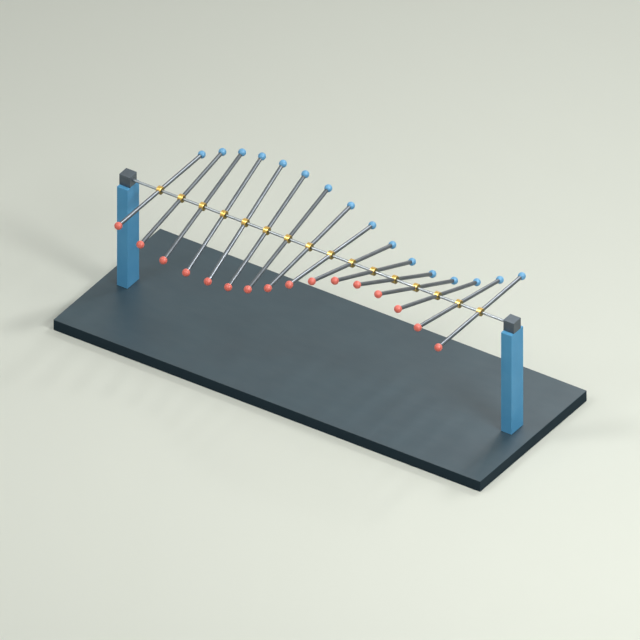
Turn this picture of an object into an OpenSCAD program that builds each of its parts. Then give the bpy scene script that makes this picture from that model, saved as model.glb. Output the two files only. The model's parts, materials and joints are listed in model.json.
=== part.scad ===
// Torsion wave machine for the classroom. A taut wire between two posts carries a row of cross
// rods in small round hubs, and each rod has a ball at either end. The rods stand as one whole
// wave leaves them. The origin is the middle of the board's underside, with +X along the wire.

/* [Board] */
// Length of the board, along the wire
board_length = 600; // [480:5:700]
// Width of the board, across the wire
board_width = 225; // [190:5:300]
// Thickness of the board
board_thickness = 15; // [12:1:22]
// Bevel on the edges of the board
board_bevel = 0.4; // [0.2:0.1:2]

/* [Posts] */
// Size of a post along the wire
post_depth = 15; // [13:1:20]
// Size of a post across the wire
post_width = 25; // [22:1:40]
// Height of a post above the board
post_height = 140.5; // [110:0.5:180]
// From the end of the board to the middle of a post
post_inset = 30; // [15:1:35]
// Bevel on the edges of a post
post_bevel = 0.4; // [0.2:0.1:2]

/* [Clamp blocks] */
// Size of a clamp block across the wire
block_width = 15; // [14:0.5:20]
// Height of a clamp block
block_height = 15; // [14:0.5:20]
// Bevel on the edges of a clamp block
block_bevel = 0.3; // [0.2:0.1:1]

/* [Wire] */
// Diameter of the wire
wire_diameter = 3.2; // [2:0.1:3.4]
// How far each end of the wire goes into its block
wire_grip = 11; // [9:0.5:11.5]

/* [Rods] */
// Number of cross rods
rod_count = 16; // [6:1:16]
// From the inner face of a clamp block to the middle of the nearest rod
rod_margin = 37.5; // [20:0.5:50]
// Diameter of a rod
rod_diameter = 4.8; // [4.4:0.1:5]
// Diameter of a hub
hub_diameter = 10; // [9:0.1:13]
// Length of a hub along the wire
hub_length = 5.8; // [5.8:0.1:9]
// Diameter of a ball
ball_diameter = 9.5; // [8:0.5:14]
// From the wire's axis to the middle of a ball
ball_reach = 88; // [60:1:92]

/* [Wave] */
// Steepest tilt of a rod in the wave
wave_angle = 25.8; // [0:0.1:45]
// Number of whole waves along the row
wave_count = 1; // [0.5:0.5:2]

/* [Post screws] */
// Diameter of a post screw's shank
post_screw_diameter = 4; // [3:0.5:5]
// Diameter of a post screw's countersunk head
post_screw_head = 8; // [7:0.5:9]
// How deep a post screw goes into its post
post_screw_bite = 20; // [10:1:30]
// Distance between the two screws of a post
post_screw_spacing = 12; // [10:0.5:13]
// Size of a post screw's hexagon socket, corner to corner
post_screw_socket = 2.9; // [2:0.1:3.2]

/* [Dowels and grub screws] */
// Diameter of a dowel between post and block
dowel_diameter = 3; // [2:0.5:3.5]
// How far a dowel goes into its block
dowel_rise = 4.5; // [3:0.1:4.5]
// How far a dowel goes into its post
dowel_drop = 9; // [6:0.5:12]
// Distance between the two dowels of a block
dowel_spacing = 8; // [6:0.5:9]
// Diameter of the grub screw that holds an end of the wire
clamp_screw_diameter = 3; // [2.5:0.5:3.5]
// Size of that grub screw's hexagon socket, corner to corner
clamp_screw_socket = 1.7; // [1.2:0.1:1.8]
// Diameter of the grub screw that holds a rod in its hub
hub_screw_diameter = 2; // [1.6:0.1:2.4]
// Size of that grub screw's hexagon socket, corner to corner
hub_screw_socket = 1; // [0.8:0.1:1.2]

/* [Hidden] */
// Radial clearance that lets a rod and its hub turn on the wire
running_clearance = 0.05;
// Radial clearance of pieces that are pushed or screwed together
fit_clearance = 0.02;
// Gap left at the blind end of a bore
end_gap = 0.3;
// Gap between the point of a grub screw and what it presses on
point_gap = 0.05;
// How far a cutting shape runs past the face that it cuts
overrun = 1;
// How far the head of a post screw lies under the surface of the board
head_sink = 0.3;
// How far the grub screws lie under the surface around them
grub_sink = 0.2;
// Chamfers of the turned pieces
rod_chamfer = 0.5;
hub_chamfer = 0.3;
wire_chamfer = 0.4;
pin_chamfer = 0.3;
// Depth of each kind of hexagon socket
post_screw_socket_depth = 1.4;
clamp_screw_socket_depth = 1.5;
hub_screw_socket_depth = 0.7;
// Smoothness of round shapes, and the number of sides of a hexagon socket
$fn = 64;
hexagon = 6;

// Places worked out from the sizes above
post_x = board_length / 2 - post_inset;
post_top = board_thickness + post_height;
wire_height = post_top + block_height / 2;
wire_half_span = post_x - post_depth / 2;
wire_half_length = wire_half_span + wire_grip;
rod_pitch = 2 * (wire_half_span - rod_margin) / (rod_count - 1);
wire_bore = wire_diameter + 2 * running_clearance;
clamp_bore = wire_diameter + 2 * fit_clearance;
rod_bore = rod_diameter + 2 * fit_clearance;
post_screw_bore = post_screw_diameter + 2 * fit_clearance;
dowel_bore = dowel_diameter + 2 * fit_clearance;
head_height = (post_screw_head - post_screw_diameter) / 2;
post_screw_length = board_thickness - head_sink + post_screw_bite;
dowel_length = dowel_rise + dowel_drop;
clamp_screw_x = (post_depth - wire_grip) / 2;
clamp_screw_length = (block_width - wire_diameter) / 2 - grub_sink - point_gap;
hub_screw_length = (hub_diameter - rod_diameter) / 2 - grub_sink - point_gap;

// Name of one numbered sub-part, such as rod_01
function numbered(base, i) = str(base, i < 10 ? "_0" : "_", i);
// Place of a rod along the wire
function rod_x(i) = (i - (rod_count + 1) / 2) * rod_pitch;
// Tilt of a rod in the wave, positive with the blue ball up
function rod_tilt(i) = wave_angle * sin(360 * wave_count * (i - 1) / (rod_count - 1));
// Rectangle with bevelled corners, centred
function bevelled_outline(a, b, bevel) = [
    [bevel - a / 2, -b / 2],
    [a / 2 - bevel, -b / 2],
    [a / 2, bevel - b / 2],
    [a / 2, b / 2 - bevel],
    [a / 2 - bevel, b / 2],
    [bevel - a / 2, b / 2],
    [-a / 2, b / 2 - bevel],
    [-a / 2, bevel - b / 2],
];

// Box with every edge bevelled, standing on the plane z = 0
module bevelled_box(x, y, z, bevel) {
    translate([0, 0, z / 2])
        intersection() {
            linear_extrude(z, center = true)
                polygon(bevelled_outline(x, y, bevel));
            rotate([90, 0, 0])
                linear_extrude(y, center = true)
                    polygon(bevelled_outline(x, z, bevel));
            rotate([90, 0, 90])
                linear_extrude(x, center = true)
                    polygon(bevelled_outline(y, z, bevel));
        }
}

// Turned pin with chamfered ends, standing on the plane z = 0
module turned_pin(diameter, length, chamfer) {
    rotate_extrude()
        polygon([
            [0, 0],
            [diameter / 2 - chamfer, 0],
            [diameter / 2, chamfer],
            [diameter / 2, length - chamfer],
            [diameter / 2 - chamfer, length],
            [0, length],
        ]);
}

// Grub screw with its socket at z = 0 and its point upwards
module grub_screw(diameter, length, socket, socket_depth) {
    difference() {
        turned_pin(diameter, length, pin_chamfer);
        translate([0, 0, -overrun])
            cylinder(d = socket, h = socket_depth + overrun, $fn = hexagon);
    }
}

// Countersunk screw with its head at z = 0 and its point upwards
module post_screw() {
    difference() {
        rotate_extrude()
            polygon([
                [0, 0],
                [post_screw_head / 2, 0],
                [post_screw_diameter / 2, head_height],
                [post_screw_diameter / 2, post_screw_length - pin_chamfer],
                [post_screw_diameter / 2 - pin_chamfer, post_screw_length],
                [0, post_screw_length],
            ]);
        translate([0, 0, -overrun])
            cylinder(d = post_screw_socket, h = post_screw_socket_depth + overrun, $fn = hexagon);
    }
}

// Puts what follows at the left post, with its inner side towards +X
module at_left_end() {
    translate([-post_x, 0, 0])
        children();
}

// Puts the mirror image of what follows at the right post, with its inner side towards -X
module at_right_end() {
    mirror([1, 0, 0])
        at_left_end()
            children();
}

// Puts what follows at both posts
module at_both_ends() {
    at_left_end()
        children();
    at_right_end()
        children();
}

// Copies what follows to two places across the wire
module in_pair(spacing) {
    for (side = [-1, 1])
        translate([0, side * spacing / 2, 0])
            children();
}

// Puts a rod, a hub or balls in their place on the wire
module on_wire(i) {
    translate([rod_x(i), 0, wire_height])
        rotate([rod_tilt(i), 0, 0])
            children();
}

module base_board() {
    color("slategray")
        difference() {
            bevelled_box(board_length, board_width, board_thickness, board_bevel);
            at_both_ends()
                in_pair(post_screw_spacing) {
                    translate([0, 0, -overrun])
                        cylinder(d = post_screw_bore, h = board_thickness + 2 * overrun);
                    countersink();
                }
        }
}

// Countersink for a post screw in the underside of the board
module countersink() {
    head_radius = post_screw_head / 2 + fit_clearance;
    rotate_extrude()
        polygon([
            [0, -overrun],
            [head_radius, -overrun],
            [head_radius, head_sink],
            [post_screw_bore / 2, head_sink + head_height],
            [0, head_sink + head_height],
        ]);
}

module post() {
    color("steelblue")
        difference() {
            translate([0, 0, board_thickness])
                bevelled_box(post_depth, post_width, post_height, post_bevel);
            in_pair(post_screw_spacing)
                translate([0, 0, board_thickness - overrun])
                    cylinder(d = post_screw_bore, h = post_screw_bite + end_gap + overrun);
            in_pair(dowel_spacing)
                translate([0, 0, post_top - dowel_drop - end_gap])
                    cylinder(d = dowel_bore, h = dowel_drop + end_gap + overrun);
        }
}

// Block that holds the left end of the wire, with a hole for a grub screw in its back face
module clamp_block() {
    color("dimgray")
        difference() {
            translate([0, 0, post_top])
                bevelled_box(post_depth, block_width, block_height, block_bevel);
            translate([post_depth / 2 - wire_grip - end_gap, 0, wire_height])
                rotate([0, 90, 0])
                    cylinder(d = clamp_bore, h = wire_grip + end_gap + overrun);
            translate([clamp_screw_x, 0, wire_height])
                rotate([-90, 0, 0])
                    cylinder(d = clamp_screw_diameter + 2 * fit_clearance, h = block_width / 2 + overrun);
            in_pair(dowel_spacing)
                translate([0, 0, post_top - overrun])
                    cylinder(d = dowel_bore, h = dowel_rise + end_gap + overrun);
        }
}

// Straight polished wire, held at both ends
module torsion_wire() {
    color("silver")
        translate([-wire_half_length, 0, wire_height])
            rotate([0, 90, 0])
                turned_pin(wire_diameter, 2 * wire_half_length, wire_chamfer);
}

// Four countersunk screws that hold the posts from under the board
module post_screws() {
    color("silver")
        at_both_ends()
            in_pair(post_screw_spacing)
                translate([0, 0, head_sink])
                    post_screw();
}

// Four dowels between the posts and the blocks
module block_dowels() {
    color("silver")
        at_both_ends()
            in_pair(dowel_spacing)
                translate([0, 0, post_top - dowel_drop])
                    turned_pin(dowel_diameter, dowel_length, pin_chamfer);
}

// Two grub screws in the back faces of the blocks, which press on the ends of the wire
module wire_grub_screws() {
    color("silver")
        at_both_ends()
            translate([clamp_screw_x, block_width / 2 - grub_sink, wire_height])
                rotate([90, 0, 0])
                    grub_screw(
                        clamp_screw_diameter,
                        clamp_screw_length,
                        clamp_screw_socket,
                        clamp_screw_socket_depth
                    );
}

// Steel rod with a cross hole for the wire, and the grub screw that holds it in its hub
module cross_rod() {
    color("lightgray") {
        difference() {
            translate([0, ball_reach, 0])
                rotate([90, 0, 0])
                    turned_pin(rod_diameter, 2 * ball_reach, rod_chamfer);
            rotate([0, 90, 0])
                cylinder(d = wire_bore, h = rod_diameter + 2 * overrun, center = true);
        }
        translate([0, 0, grub_sink - hub_diameter / 2])
            grub_screw(hub_screw_diameter, hub_screw_length, hub_screw_socket, hub_screw_socket_depth);
    }
}

// Round brass hub along the wire, with a cross bore for the rod and a hole for the grub screw
module hub() {
    color("goldenrod")
        difference() {
            translate([-hub_length / 2, 0, 0])
                rotate([0, 90, 0])
                    turned_pin(hub_diameter, hub_length, hub_chamfer);
            rotate([0, 90, 0])
                cylinder(d = wire_bore, h = hub_length + 2 * overrun, center = true);
            rotate([90, 0, 0])
                cylinder(d = rod_bore, h = hub_diameter + 2 * overrun, center = true);
            rotate([180, 0, 0])
                cylinder(d = hub_screw_diameter + 2 * fit_clearance, h = hub_diameter / 2 + overrun);
        }
}

// Ball on one end of a rod, with a blind bore that takes the rod's end
module end_ball(side) {
    translate([0, side * ball_reach, 0])
        difference() {
            sphere(d = ball_diameter);
            rotate([90 * side, 0, 0])
                translate([0, 0, -end_gap])
                    cylinder(d = rod_bore, h = end_gap + ball_diameter / 2 + overrun);
        }
}

// Red ball at the front end of a rod and blue ball at its back end
module end_balls() {
    color("salmon")
        end_ball(-1);
    color("skyblue")
        end_ball(1);
}

base_board();
at_left_end() post();  // left_post
at_right_end() post();  // right_post
at_left_end() clamp_block();  // left_clamp_block
at_right_end() clamp_block();  // right_clamp_block
torsion_wire();
post_screws();
block_dowels();
wire_grub_screws();
for (i = [1:rod_count]) {
    on_wire(i) cross_rod();
    on_wire(i) hub();
    on_wire(i) end_balls();
}
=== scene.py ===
# %% [markdown]
# # A torsion wave machine for the classroom
# A taut wire runs between two posts on a board. Steel rods cross the wire in small brass hubs,
# and each rod has a red ball at the front end and a blue ball at the back end. Push one rod and
# the twist travels along the wire, so a wave runs through the balls.
# The drilled and jointed model comes first, as a fixed frame. What follows gives it its looks.

# %% Load the frame
import json
import math

import bmesh
import bpy
from mathutils import Matrix, Vector


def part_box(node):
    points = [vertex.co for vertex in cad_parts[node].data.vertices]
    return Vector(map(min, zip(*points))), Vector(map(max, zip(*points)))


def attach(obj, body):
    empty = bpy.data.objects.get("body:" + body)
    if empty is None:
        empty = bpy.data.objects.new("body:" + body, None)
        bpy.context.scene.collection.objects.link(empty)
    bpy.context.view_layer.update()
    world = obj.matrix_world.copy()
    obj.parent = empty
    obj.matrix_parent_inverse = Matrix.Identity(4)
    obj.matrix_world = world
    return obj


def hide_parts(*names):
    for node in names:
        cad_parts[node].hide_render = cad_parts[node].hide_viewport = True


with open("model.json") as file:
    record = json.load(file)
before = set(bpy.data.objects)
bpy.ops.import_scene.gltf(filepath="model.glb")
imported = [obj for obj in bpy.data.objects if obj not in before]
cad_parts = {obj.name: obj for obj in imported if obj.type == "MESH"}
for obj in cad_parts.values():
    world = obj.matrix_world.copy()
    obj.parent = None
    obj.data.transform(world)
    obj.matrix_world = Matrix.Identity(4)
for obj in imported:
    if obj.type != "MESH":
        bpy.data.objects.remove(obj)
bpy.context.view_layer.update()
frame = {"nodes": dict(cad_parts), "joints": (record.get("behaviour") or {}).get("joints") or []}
MM = 0.001

# %% [markdown]
# ## The camera
# The photograph keeps parallel edges parallel, so an orthographic camera matches it. It looks at
# the front right corner from above: the way to the camera is 2 along the wire, 3 to the front and
# 2.5 up. The width of its view is what the photograph's 640 pixels span on the real machine.

# %% Set the camera
VIEW_WAY = Vector((2, -3, 2.5)).normalized()
VIEW_MIDDLE = Vector((-0.1 * MM, 0, 64.7 * MM))
VIEW_WIDTH = 748.7 * MM
CAMERA_DISTANCE = 3.0

camera_data = bpy.data.cameras.new("camera")
camera_data.type = "ORTHO"
camera_data.ortho_scale = VIEW_WIDTH
camera = bpy.data.objects.new("camera", camera_data)
camera.location = VIEW_MIDDLE + VIEW_WAY * CAMERA_DISTANCE
camera.rotation_euler = VIEW_WAY.to_track_quat("Z", "Y").to_euler()
bpy.context.scene.collection.objects.link(camera)
bpy.context.scene.camera = camera
print("camera at", [round(v, 3) for v in camera.location])

# %% [markdown]
# ## Sizes that the looks follow
# Nothing is measured twice. The hinges of the frame say where each rod crosses the wire and how
# far it is tilted in the stopped wave, and the boxes of a few nodes give the sizes of the balls
# and the rods. The first rod stands level, so its boxes are its true sizes.

# %% Read the sizes from the frame
ball_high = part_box("end_balls_01")[1]
rod_low, rod_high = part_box("rod_01")
ROD_REACH = rod_high.y
BALL_RADIUS = ball_high.y - ROD_REACH
ROD_RADIUS = (rod_high.x - rod_low.x) / 2

crossbars = []
for joint in frame["joints"]:
    crossbars.append({
        "body": joint["child"],
        "number": joint["child"].split("_")[-1],
        "place": Vector(joint["pos_m"]),
        "tilt": -joint["springref"],
    })
WIRE_HEIGHT = crossbars[0]["place"].z
print(f"{len(crossbars)} crossbars, wire {WIRE_HEIGHT / MM:.1f} mm up")
print(f"ball radius {BALL_RADIUS / MM:.2f} mm, rod radius {ROD_RADIUS / MM:.2f} mm")

# %% [markdown]
# ## Colours and shader nodes
# A paint colour is picked as an sRGB hex value, and a shader wants linear light, so one function
# turns the one into the other. A second function adds a shader node with its settings and its
# links, which keeps every finish below to a few lines.

# %% Helpers for colours and shader nodes
def linear(hex_colour):
    """A hex colour as linear red, green, blue and alpha."""
    channels = [int(hex_colour[i:i + 2], 16) / 255 for i in (1, 3, 5)]
    light = [c / 12.92 if c <= 0.04045 else ((c + 0.055) / 1.055) ** 2.4 for c in channels]
    return (*light, 1.0)


def add_node(material, kind, inputs=None, **settings):
    """A shader node with its settings. Each input takes a value or another node's socket."""
    node = material.node_tree.nodes.new("ShaderNode" + kind)
    for name, value in settings.items():
        setattr(node, name, value)
    for name, value in (inputs or {}).items():
        if isinstance(value, bpy.types.NodeSocket):
            material.node_tree.links.new(value, node.inputs[name])
        else:
            node.inputs[name].default_value = value
    return node


def new_finish(name):
    """A material with an empty node tree."""
    material = bpy.data.materials.new(name)
    material.use_nodes = True
    material.node_tree.nodes.clear()
    return material


print("mid grey in linear light:", round(linear("#808080")[0], 3))

# %% [markdown]
# A few patterns come back in many finishes, so each has a helper. A grain is a noise with its size
# in millimetres, and stretched coordinates draw it out into scratches or drawing lines. All of them
# read the piece's own coordinates, so they move with it.

# %% Helpers for patterns
def own_place(material, middle=(0, 0, 0), stretch=(1, 1, 1)):
    """The piece's own coordinates in metres from a middle, with each axis scaled."""
    place = add_node(material, "TexCoord").outputs["Object"]
    moved = add_node(material, "VectorMath", {0: place, 1: middle}, operation="SUBTRACT")
    scaled = {0: moved.outputs[0], 1: stretch}
    return add_node(material, "VectorMath", scaled, operation="MULTIPLY").outputs[0]


def calculate(material, operation, first, second=0.0):
    """One step of arithmetic on numbers or sockets."""
    return add_node(material, "Math", {0: first, 1: second}, operation=operation).outputs[0]


def grain(material, place, size_mm, detail=2.0):
    """Noise with a grain size in millimetres. Most of it lies between 0.3 and 0.7."""
    settings = {"Vector": place, "Scale": 1 / (size_mm * MM), "Detail": detail, "Roughness": 0.5}
    return add_node(material, "TexNoise", settings).outputs["Fac"]


def between(material, pattern, low, high, start=0.3, stop=0.7):
    """A number that runs from low to high while a pattern runs from start to stop."""
    limits = {"Value": pattern, "From Min": start, "From Max": stop, "To Min": low, "To Max": high}
    return add_node(material, "MapRange", limits).outputs["Result"]


print("pattern helpers are ready")

# %% [markdown]
# Four more helpers make a finish from the patterns. A blend mixes two colours. The Mix node has
# sockets of the same name for numbers, vectors and colours, so its colour sockets are picked by
# their place in the row. A relief turns a pattern into bump with a depth in millimetres. The
# direction in which a surface looks tells the faces of a piece from its edges or ends.

# %% Helpers for surfaces
MIX_COLOUR_A = 6
MIX_COLOUR_B = 7
MIX_COLOUR_RESULT = 2


def blend(material, share, first, second):
    """A colour between two, where a share of 0 gives the first."""
    settings = {"Factor": share, MIX_COLOUR_A: first, MIX_COLOUR_B: second}
    return add_node(material, "Mix", settings, data_type="RGBA").outputs[MIX_COLOUR_RESULT]


def facing(material, axis):
    """How squarely a surface looks along X, Y or Z of the piece, from 0 to 1."""
    normal = add_node(material, "TexCoord").outputs["Normal"]
    along = add_node(material, "SeparateXYZ", {0: normal}).outputs[axis]
    return calculate(material, "ABSOLUTE", along)


def relief(material, height, depth_mm):
    """A bumped normal from a height between 0 and 1."""
    settings = {"Height": height, "Distance": depth_mm * MM, "Strength": 1.0}
    return add_node(material, "Bump", settings).outputs["Normal"]


def shine(material, inputs):
    """The surface shader and the output of a finish."""
    surface = add_node(material, "BsdfPrincipled", inputs)
    add_node(material, "OutputMaterial", {"Surface": surface.outputs["BSDF"]})
    return material


print("surface helpers are ready")

# %% [markdown]
# ## The board
# The board is a flat panel in dark slate paint. Its faces have a satin clear coat over the paint,
# and its edges have none, so they stay matt. The edges are also painted darker: painted shade that
# stands in for the shade on upright faces. The paint has a fine pearl texture, its tone drifts a
# little over a hand's width, and the clear coat is wiped a little thinner here and there. The edges
# are told from the faces by the direction in which the surface looks.

# %% Slate paint with a clear coat
def slate_paint():
    """Dark paint on a panel, with a satin clear coat on the faces alone and painted shade on the
    edges.
    """
    material = new_finish("slate_paint")
    place = own_place(material)
    cloud = grain(material, place, size_mm=70, detail=3.0)
    pearl = grain(material, place, size_mm=0.9, detail=1.0)
    smudge = grain(material, own_place(material, stretch=(0.4, 1, 1)), size_mm=12, detail=4.0)
    face = blend(material, between(material, cloud, 0, 1), linear("#2f444f"), linear("#344b56"))
    # Faces against edges: the edges take no coat and a darker colour, which is painted shade.
    face_vs_painted_shade_edge = between(material, facing(material, "Z"), 0, 1, start=0.3, stop=0.5)
    coat = between(material, smudge, 0.60, 0.68)
    return shine(material, {
        # The darker edge colour #24353f is painted shade for the upright faces.
        "Base Color": blend(material, face_vs_painted_shade_edge, linear("#24353f"), face),
        "Roughness": 0.6,
        "Specular IOR Level": 0.1,
        "Normal": relief(material, pearl, depth_mm=0.02),
        "Coat Weight": calculate(material, "MULTIPLY", face_vs_painted_shade_edge, coat),
        "Coat Roughness": 0.42,
        "Coat IOR": 1.6,
    })


board_finish = slate_paint()
print("board finish:", board_finish.name)

# %% [markdown]
# ## Posts
# The posts are flat bar with a baked powder coat. Powder melts and flows in the oven, and sets
# with a soft orange peel about a millimetre across. The coat is a little thinner and lighter here
# and there, which a slow drift of its tone shows.

# %% Blue powder coat
def blue_powder_coat():
    """Baked powder paint with orange peel."""
    material = new_finish("blue_powder_coat")
    place = own_place(material)
    drift = between(material, grain(material, place, size_mm=30), 0, 1)
    peel = grain(material, place, size_mm=1.4, detail=1.0)
    dust = grain(material, place, size_mm=5, detail=3.0)
    return shine(material, {
        "Base Color": blend(material, drift, linear("#5ba7d6"), linear("#64afdc")),
        "Roughness": between(material, dust, 0.40, 0.50),
        "Specular IOR Level": 0.2,
        "Normal": relief(material, peel, depth_mm=0.06),
    })


post_finish = blue_powder_coat()
print("post finish:", post_finish.name)

# %% [markdown]
# ## Clamp blocks
# The blocks that hold the wire are cut from aluminium bar and anodised dark grey. The saw and the
# cutter leave fine level lines, which the anodising keeps, and the metal below still gives its
# broad shine on the top face.

# %% Dark anodised aluminium
def dark_anodised():
    """Milled aluminium with a dark anodised skin."""
    material = new_finish("dark_anodised")
    lines = grain(material, own_place(material, stretch=(0.03, 0.03, 1)), size_mm=0.35)
    bloom = between(material, grain(material, own_place(material), size_mm=6, detail=3.0), 0, 1)
    return shine(material, {
        "Base Color": blend(material, bloom, linear("#535d67"), linear("#5b656e")),
        "Metallic": 0.5,
        "Roughness": between(material, lines, 0.36, 0.46),
        "Normal": relief(material, lines, depth_mm=0.03),
    })


block_finish = dark_anodised()
print("block finish:", block_finish.name)

# %% [markdown]
# ## Wire, rods and screws
# The wire is brushed spring steel, drawn through a die that leaves faint lines along it. The rods
# are drawn too, of a darker steel that was blued in the oven, so they look dark grey where nothing
# bright is mirrored in them. Their lines follow the rod: they change quickly across the rod and
# slowly along it. The screws and dowels have a mottled zinc plating.

# %% Steel finishes
def brushed_wire_steel():
    """Drawn and brushed spring steel."""
    material = new_finish("brushed_wire_steel")
    along_wire = own_place(material, (0, 0, WIRE_HEIGHT), stretch=(0.004, 1, 1))
    lines = grain(material, along_wire, size_mm=0.25)
    tone = between(material, lines, 0, 1)
    return shine(material, {
        "Base Color": blend(material, tone, linear("#8f959b"), linear("#9ca2a8")),
        "Metallic": 1.0,
        "Roughness": between(material, lines, 0.30, 0.38),
        "Normal": relief(material, lines, depth_mm=0.0006),
    })


def blued_rod_steel():
    """Drawn steel rod, blued in the oven."""
    material = new_finish("blued_rod_steel")
    lines = grain(material, own_place(material, stretch=(1, 0.02, 0.02)), size_mm=0.30)
    tint = between(material, grain(material, own_place(material), size_mm=14), 0, 1)
    return shine(material, {
        "Base Color": blend(material, tint, linear("#62676e"), linear("#6e7379")),
        "Metallic": 0.9,
        "Roughness": between(material, lines, 0.33, 0.39),
        "Normal": relief(material, lines, depth_mm=0.0006),
    })


def zinc_plate():
    """Bright zinc on small fasteners."""
    material = new_finish("zinc_plate")
    mottle = grain(material, own_place(material), size_mm=0.8, detail=3.0)
    tone = between(material, mottle, 0, 1)
    return shine(material, {
        "Base Color": blend(material, tone, linear("#a9adb1"), linear("#bfc3c6")),
        "Metallic": 1.0,
        "Roughness": between(material, mottle, 0.30, 0.45),
        "Normal": relief(material, mottle, depth_mm=0.01),
    })


wire_finish = brushed_wire_steel()
rod_finish = blued_rod_steel()
screw_finish = zinc_plate()
print("steel finishes:", wire_finish.name, rod_finish.name, screw_finish.name)

# %% [markdown]
# ## Hubs
# The hubs are turned from brass bar. The tool leaves fine rings round the axis: on the barrel they
# are stations along the wire, and on the end faces they are circles about it. All hubs share one
# axis, the wire, so the distance along it and the distance from it together make the rings. The
# barrel is polished. The end faces are painted a dark olive, as painted shade for the darker
# surroundings that they mirror.

# %% Turned brass
def turned_brass():
    """Brass with the rings that a lathe tool leaves, and painted shade on the end faces."""
    material = new_finish("turned_brass")
    from_axis = own_place(material, (0, 0, WIRE_HEIGHT))
    parts = add_node(material, "SeparateXYZ", {0: from_axis}).outputs
    flat = add_node(material, "CombineXYZ", {"Y": parts["Y"], "Z": parts["Z"]}).outputs[0]
    outward = add_node(material, "VectorMath", {0: flat}, operation="LENGTH").outputs["Value"]
    along = calculate(material, "ADD", parts["X"], outward)
    rings = grain(material, add_node(material, "CombineXYZ", {"X": along}).outputs[0], size_mm=0.22)
    tarnish = between(material, grain(material, own_place(material), size_mm=3, detail=3.0), 0, 1)
    barrel = blend(material, tarnish, linear("#d0a95c"), linear("#deba70"))
    # The end faces get a dark olive colour, painted shade for what they mirror.
    end_face_painted_shade = between(material, facing(material, "X"), 0, 1, start=0.75, stop=0.95)
    return shine(material, {
        # The olive #76652f on the end faces is painted shade.
        "Base Color": blend(material, end_face_painted_shade, barrel, linear("#76652f")),
        "Metallic": 1.0,
        "Roughness": between(material, rings, 0.24, 0.36),
        "Normal": relief(material, rings, depth_mm=0.012),
    })


hub_finish = turned_brass()
print("hub finish:", hub_finish.name)

# %% [markdown]
# ## Balls
# The balls are moulded in coloured plastic. Moulded plastic has a satin skin with a very fine
# spark texture, and its colour swirls a little where the melt flowed.

# %% Moulded plastic
def moulded_plastic(name, deep, bright):
    """Satin plastic with slow swirls of colour."""
    material = new_finish(name)
    place = own_place(material)
    swirl = between(material, grain(material, place, size_mm=5, detail=3.0), 0, 1)
    spark = grain(material, place, size_mm=0.35, detail=1.0)
    return shine(material, {
        "Base Color": blend(material, swirl, linear(deep), linear(bright)),
        "Roughness": between(material, spark, 0.40, 0.50),
        "Specular IOR Level": 0.5,
        "Normal": relief(material, spark, depth_mm=0.012),
    })


red_finish = moulded_plastic("red_plastic", "#ee7060", "#f47c6c")
blue_finish = moulded_plastic("blue_plastic", "#66acdb", "#72b7e3")
print("ball finishes:", red_finish.name, blue_finish.name)

# %% [markdown]
# ## Dress the nodes of the frame
# The solids of the frame already have the right shapes, with true bores, bevels and countersinks,
# so they stay and only get their finishes. The names of the nodes say which finish they take.

# %% Give each node its finish
FINISHES = {
    "base_board": board_finish,
    "left_post": post_finish,
    "right_post": post_finish,
    "left_clamp_block": block_finish,
    "right_clamp_block": block_finish,
    "torsion_wire": wire_finish,
    "post_screws": screw_finish,
    "block_dowels": screw_finish,
    "wire_grub_screws": screw_finish,
}
for bar in crossbars:
    FINISHES["rod_" + bar["number"]] = rod_finish
    FINISHES["hub_" + bar["number"]] = hub_finish

for name, finish in FINISHES.items():
    for slot in frame["nodes"][name].material_slots:
        slot.material = finish
print(f"{len(FINISHES)} nodes dressed")

# %% [markdown]
# ## Make the balls
# One node holds both balls of a rod, and they need two colours, so each ball is made anew in its
# place. A ball starts as a sphere whose pole looks along the rod. A cut across the pole opens it
# where the rod goes in, the rim is pushed down into a blind bore a little wider than the rod, and
# a small bevel breaks the sharp lip. The bore ends in a flat bottom behind the end of the rod. That
# bottom is the only face with more than four corners, and the only one that isn't shaded smooth.

# %% A drilled ball
BORE_CLEARANCE = 0.02 * MM
BORE_BEHIND = 0.3 * MM
LIP = 0.15 * MM
SEGMENTS = 48
RINGS = 24
QUAD = 4


def drilled_ball(name, middle, to_hub, finish, body):
    """A ball with a blind bore towards the hub."""
    bore_radius = ROD_RADIUS + BORE_CLEARANCE
    mouth = math.sqrt(BALL_RADIUS ** 2 - (bore_radius + LIP) ** 2)
    form = bmesh.new()
    bmesh.ops.create_uvsphere(form, u_segments=SEGMENTS, v_segments=RINGS, radius=BALL_RADIUS)
    cut = bmesh.ops.bisect_plane(
        form, geom=form.verts[:] + form.edges[:] + form.faces[:],
        plane_co=(0, 0, mouth), plane_no=(0, 0, 1), clear_outer=True,
    )
    rim = [part for part in cut["geom_cut"] if isinstance(part, bmesh.types.BMEdge)]
    for depth in (mouth - LIP, -BORE_BEHIND):
        grown = bmesh.ops.extrude_edge_only(form, edges=rim)["geom"]
        for vert in (part for part in grown if isinstance(part, bmesh.types.BMVert)):
            side = vert.co.xy.normalized() * bore_radius
            vert.co = (side.x, side.y, depth)
        edges = [part for part in grown if isinstance(part, bmesh.types.BMEdge)]
        rim = [edge for edge in edges if edge.is_boundary]
    bmesh.ops.edgeloop_fill(form, edges=rim)
    bmesh.ops.recalc_face_normals(form, faces=form.faces)
    turn = to_hub.to_track_quat("Z", "X").to_matrix().to_4x4()
    bmesh.ops.transform(form, matrix=Matrix.Translation(middle) @ turn, verts=form.verts)
    for face in form.faces:
        face.smooth = len(face.verts) <= QUAD
    mesh = bpy.data.meshes.new(name)
    form.to_mesh(mesh)
    form.free()
    mesh.materials.append(finish)
    ball = bpy.data.objects.new(name, mesh)
    bpy.context.scene.collection.objects.link(ball)
    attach(ball, body)
    return ball


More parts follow.
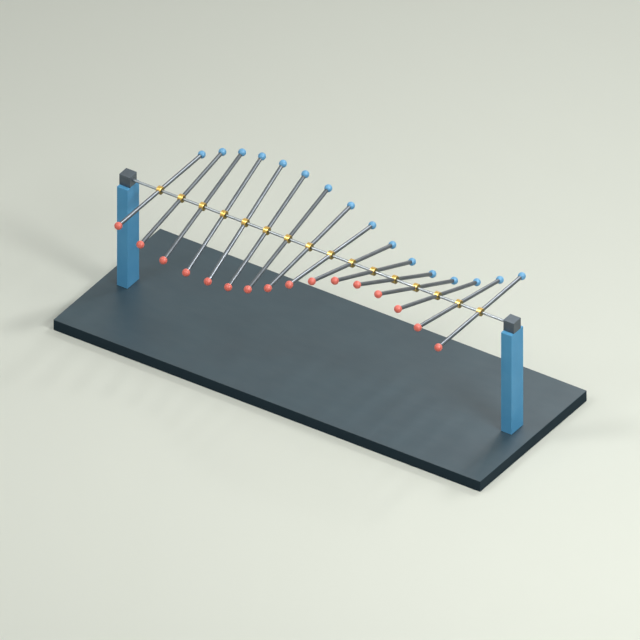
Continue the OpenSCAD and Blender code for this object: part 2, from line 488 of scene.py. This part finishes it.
balls = []
for bar in crossbars:
    along = Vector((0, math.cos(bar["tilt"]), math.sin(bar["tilt"])))
    for colour, finish, side in (("red", red_finish, -1), ("blue", blue_finish, 1)):
        name = f"{colour}_ball_{bar['number']}"
        middle = bar["place"] + along * side * ROD_REACH
        to_hub = -side * along
        ball = drilled_ball(name, middle, to_hub, finish, bar["body"])
        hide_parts("end_balls_" + bar["number"])
        balls.append(ball)
print(f"{len(balls)} balls of {len(balls[0].data.polygons)} faces each")

# %% [markdown]
# ## Floor
# The machine stands on a sheet of pale paper. The camera and the metals see the paper in its own
# pale colour. Light that it throws back up at the machine comes from a darker tone, painted shade
# that stands in for a studio where most of the floor is in shade, so the upright faces stay darker
# than the tops.

# %% Paper floor
FLOOR_HALF = 6.0


def seen_directly(material):
    """1 where the camera, a metal or a glass shows the surface, and 0 for light that it sheds."""
    rays = add_node(material, "LightPath").outputs
    seen = calculate(material, "MAXIMUM", rays["Is Camera Ray"], rays["Is Glossy Ray"])
    return calculate(material, "MAXIMUM", seen, rays["Is Transmission Ray"])


def pale_paper():
    """Pale paper to the camera and to gloss, with a darker tone for the light it bounces: painted
    shade.
    """
    material = new_finish("pale_paper")
    seen = seen_directly(material)
    return shine(material, {
        # The darker tone for bounced light is painted shade on the floor.
        "Base Color": blend(material, seen, linear("#a2a69c"), linear("#e2e6da")),
        "Roughness": 0.9,
        "Specular IOR Level": 0.25,
    })


form = bmesh.new()
bmesh.ops.create_grid(form, x_segments=1, y_segments=1, size=FLOOR_HALF)
floor_mesh = bpy.data.meshes.new("floor")
form.to_mesh(floor_mesh)
form.free()
floor_mesh.materials.append(pale_paper())
floor = bpy.data.objects.new("floor", floor_mesh)
bpy.context.scene.collection.objects.link(floor)
print("floor is", 2 * FLOOR_HALF, "m wide")

# %% [markdown]
# ## Lamps
# Three soft lamps light the machine, as the shadows in the photograph tell. The strongest stands
# to the right and throws the shadow of the right post along the board. One behind throws the
# shadows of rods and posts to the front, and one at the front left opens the shadows.

# %% Three lamps
def studio_lamp(name, place, size, power):
    """A square lamp that looks at the origin. Its place and size are in metres."""
    data = bpy.data.lights.new(name, "AREA")
    data.shape = "SQUARE"
    data.size = size
    data.energy = power
    lamp = bpy.data.objects.new(name, data)
    lamp.location = place
    lamp.rotation_euler = lamp.location.to_track_quat("Z", "Y").to_euler()
    bpy.context.scene.collection.objects.link(lamp)
    return lamp


studio_lamp("back_lamp", place=(0.24, 0.92, 1.33), size=0.18, power=6.6)
studio_lamp("right_lamp", place=(0.95, -0.21, 1.08), size=0.36, power=7.8)
studio_lamp("front_lamp", place=(-0.54, -0.75, 1.40), size=0.30, power=5.6)

# %% [markdown]
# The rods, the blocks and the balls have stronger highlights in the photograph than these lamps
# give. A studio adds such lines of light with bright cards that are too weak to light the room.
# Here each card is a lamp that shows only in gloss: it puts a highlight on metal, plastic and clear
# coat, and adds no light to the colours.

# %% Cards for the highlights
cards = [
    studio_lamp("back_card", place=(0.0, 1.25, 1.15), size=0.30, power=10.0),
    studio_lamp("right_card", place=(0.95, -0.21, 1.09), size=0.36, power=18.0),
    studio_lamp("front_card", place=(-0.54, -0.75, 1.41), size=0.30, power=5.0),
]
for card in cards:
    card.visible_diffuse = False
print("cards:", [card.name for card in cards])

# %% [markdown]
# ## World
# The world adds an even grey light from all sides. Where the camera, a metal or a glass sees it
# directly, it shows the pale tone of a paper backdrop instead.

# %% A pale backdrop
EVEN_LIGHT = (0.32, 0.32, 0.32, 1.0)
BACKDROP = linear("#eef0e6")

world = bpy.data.worlds.new("world")
world.use_nodes = True
tone = blend(world, seen_directly(world), EVEN_LIGHT, BACKDROP)
world.node_tree.links.new(tone, world.node_tree.nodes["Background"].inputs["Color"])
bpy.context.scene.world = world
bpy.context.scene.view_settings.view_transform = "Standard"
print("world:", world.name)
